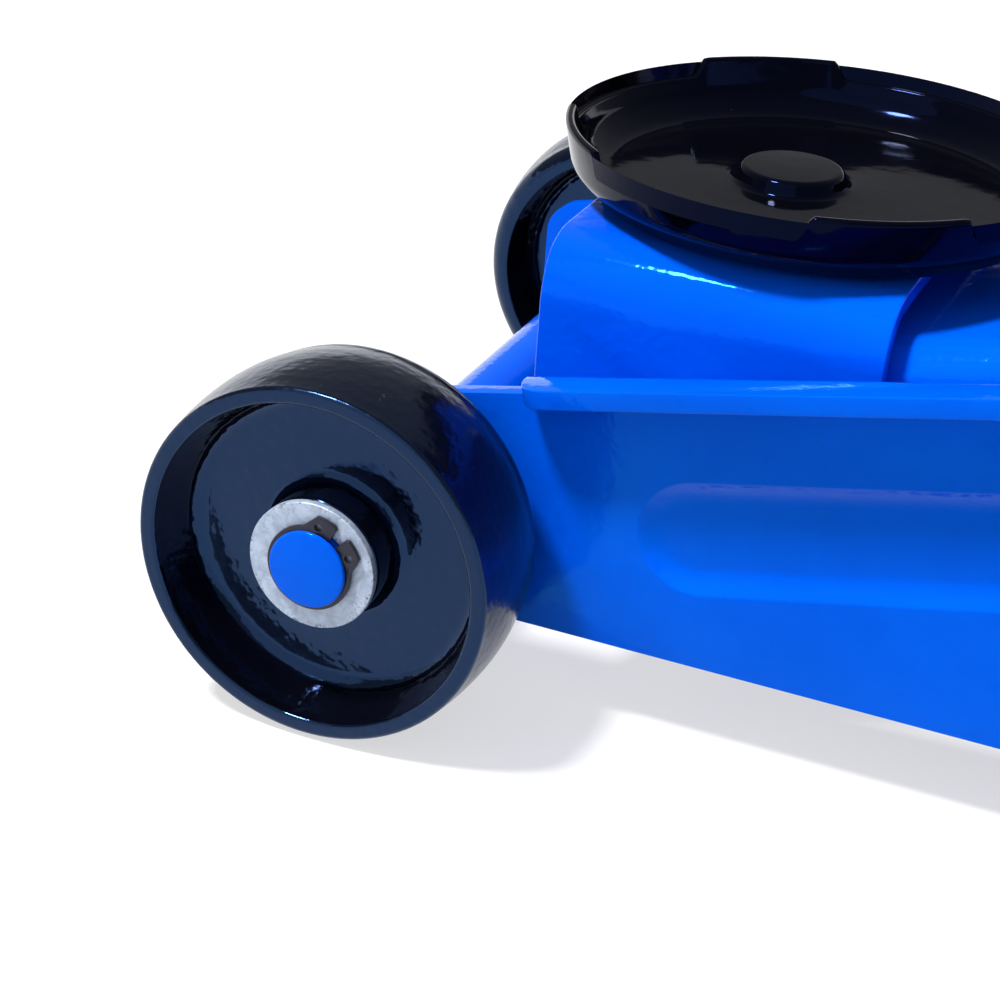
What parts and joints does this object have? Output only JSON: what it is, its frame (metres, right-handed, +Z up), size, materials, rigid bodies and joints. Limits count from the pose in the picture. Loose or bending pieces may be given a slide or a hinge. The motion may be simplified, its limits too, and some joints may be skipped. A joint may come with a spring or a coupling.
{
  "type": "hydraulic trolley jack",
  "caption": "Low rolling hydraulic floor jack with pressed steel side plates, a parallelogram lift arm, a swivelling saddle and a long pumping handle.",
  "frame": {"origin": "on the floor under the middle of the whole jack, with the handle at its low stop", "axes": "+X forwards, from the handle's grip to the front wheels; +Y to the jack's left; +Z up"},
  "size_m": [1.0802, 0.2018, 0.337],
  "materials": {
    "blue_paint": "glossy saturated blue enamel, slightly orange-peeled",
    "black_enamel": "thick gloss black enamel with orange peel and fine dust",
    "black_caster": "moulded black nylon",
    "zinc": "mottled pale zinc plating",
    "bright_steel": "ground and oiled bare steel",
    "chromed_tube": "nickel-chrome plated tube",
    "spring_steel": "oil-blackened spring steel",
    "casting": "grey painted iron casting",
    "grip_rubber": "matte moulded rubber"
  },
  "bodies": {
    "frame": {"side_plate_left": "blue_paint", "side_plate_right": "blue_paint", "frame_tie_bar": "blue_paint", "rear_caster_plate": "blue_paint", "top_cover": "blue_paint", "cover_screw_left": "zinc", "cover_screw_right": "zinc", "front_axle": "blue_paint", "front_washer_left": "zinc", "front_washer_right": "zinc", "front_clip_left": "spring_steel", "front_clip_right": "spring_steel", "front_spacer_left": "zinc", "front_spacer_right": "zinc", "arm_shaft": "bright_steel", "arm_shaft_nut_left": "zinc", "arm_shaft_nut_right": "zinc", "arm_bush_left": "bright_steel", "arm_bush_right": "bright_steel", "link_bolt_left": "zinc", "link_bolt_right": "zinc", "ram_cylinder": "casting", "ram_gland_nut": "spring_steel", "pump_block": "casting", "pump_barrel": "bright_steel", "pump_spring": "spring_steel", "filler_plug": "grip_rubber", "socket_shaft": "bright_steel", "socket_spacer_left": "bright_steel", "socket_spacer_right": "bright_steel", "return_spring_left": "spring_steel", "return_spring_right": "spring_steel"},
    "arm": {"lift_arm": "blue_paint", "heel_pin": "bright_steel"},
    "heel_roller": {"heel_roller": "bright_steel"},
    "bracket": {"saddle_bracket": "blue_paint", "bracket_pin": "bright_steel", "link_pin": "bright_steel"},
    "saddle": {"saddle": "black_enamel", "saddle_retaining_ring": "spring_steel"},
    "link_left": {"link_bar_left": "blue_paint"},
    "link_right": {"link_bar_right": "blue_paint"},
    "ram": {"ram_rod": "bright_steel"},
    "plunger": {"pump_plunger": "bright_steel"},
    "handle": {"handle_socket": "blue_paint", "handle_lower": "chromed_tube", "handle_upper": "chromed_tube", "handle_grip": "grip_rubber", "handle_screw": "zinc", "pump_roller": "bright_steel"},
    "release_valve": {"release_valve": "zinc"},
    "front_wheel_left": {"front_wheel_left": "black_enamel"},
    "front_wheel_right": {"front_wheel_right": "black_enamel"},
    "caster_left": {"caster_fork_left": "zinc", "caster_axle_left": "zinc"},
    "caster_right": {"caster_fork_right": "zinc", "caster_axle_right": "zinc"},
    "caster_wheel_left": {"caster_wheel_left": "black_caster"},
    "caster_wheel_right": {"caster_wheel_right": "black_caster"}
  },
  "joints": [
    {"name": "lift", "type": "hinge", "parent": "frame", "child": "arm", "pos_m": [0.21205, 0, 0.103], "axis": [0, -1, 0], "range_deg": [0, 60], "stiffness_Nm_per_rad": 2, "springref_deg": -34.38, "deforming": ["return_spring_left", "return_spring_right"]},
    {"name": "bracket_level", "type": "hinge", "parent": "arm", "child": "bracket", "pos_m": [0.4421, 0, 0.05703], "axis": [0, -1, 0], "range_deg": [-60, 0]},
    {"name": "link_left_swing", "type": "hinge", "parent": "frame", "child": "link_left", "pos_m": [0.22167, 0.055, 0.07458], "axis": [0, -1, 0], "range_deg": [0, 60]},
    {"name": "link_right_swing", "type": "hinge", "parent": "frame", "child": "link_right", "pos_m": [0.22167, -0.055, 0.07458], "axis": [0, -1, 0], "range_deg": [0, 60]},
    {"name": "ram_stroke", "type": "slide", "parent": "frame", "child": "ram", "axis": [1, 0, 0], "range_m": [0, 0.0451]},
    {"name": "heel_roller_turn", "type": "hinge", "parent": "arm", "child": "heel_roller", "pos_m": [0.18955, 0, 0.06403], "axis": [0, 1, 0], "continuous": true},
    {"name": "saddle_swivel", "type": "hinge", "parent": "bracket", "child": "saddle", "pos_m": [0.4374, 0, 0.095], "axis": [0, 0, 1], "continuous": true},
    {"name": "handle_pump", "type": "hinge", "parent": "frame", "child": "handle", "pos_m": [0.07705, 0, 0.121], "axis": [0, 1, 0], "range_deg": [0, 50]},
    {"name": "plunger_stroke", "type": "slide", "parent": "frame", "child": "plunger", "axis": [0, 0, 1], "range_m": [0, 0.0153], "deforming": ["pump_spring"]},
    {"name": "release_valve_turn", "type": "hinge", "parent": "frame", "child": "release_valve", "pos_m": [0.03605, 0, 0.0723], "axis": [1, 0, 0], "range_deg": [0, 180]},
    {"name": "front_wheel_left_turn", "type": "hinge", "parent": "frame", "child": "front_wheel_left", "pos_m": [0.50205, 0.0858, 0.038], "axis": [0, 1, 0], "continuous": true},
    {"name": "caster_left_swivel", "type": "hinge", "parent": "frame", "child": "caster_left", "pos_m": [0.05205, 0.05, 0.055], "axis": [0, 0, 1], "continuous": true},
    {"name": "caster_wheel_left_turn", "type": "hinge", "parent": "caster_left", "child": "caster_wheel_left", "pos_m": [0.03605, 0.05, 0.024], "axis": [0, 1, 0], "continuous": true},
    {"name": "front_wheel_right_turn", "type": "hinge", "parent": "frame", "child": "front_wheel_right", "pos_m": [0.50205, -0.0858, 0.038], "axis": [0, 1, 0], "continuous": true},
    {"name": "caster_right_swivel", "type": "hinge", "parent": "frame", "child": "caster_right", "pos_m": [0.05205, -0.05, 0.055], "axis": [0, 0, 1], "continuous": true},
    {"name": "caster_wheel_right_turn", "type": "hinge", "parent": "caster_right", "child": "caster_wheel_right", "pos_m": [0.03605, -0.05, 0.024], "axis": [0, 1, 0], "continuous": true}
  ],
  "couplings": [
    {"joint": "bracket_level", "follows": "lift", "ratio": -1},
    {"joint": "link_left_swing", "follows": "lift", "ratio": 1},
    {"joint": "link_right_swing", "follows": "lift", "ratio": 1},
    {"joint": "ram_stroke", "follows": "lift", "m_per_rad": 0.042972},
    {"joint": "plunger_stroke", "follows": "handle_pump", "m_per_rad": 0.017434}
  ]
}
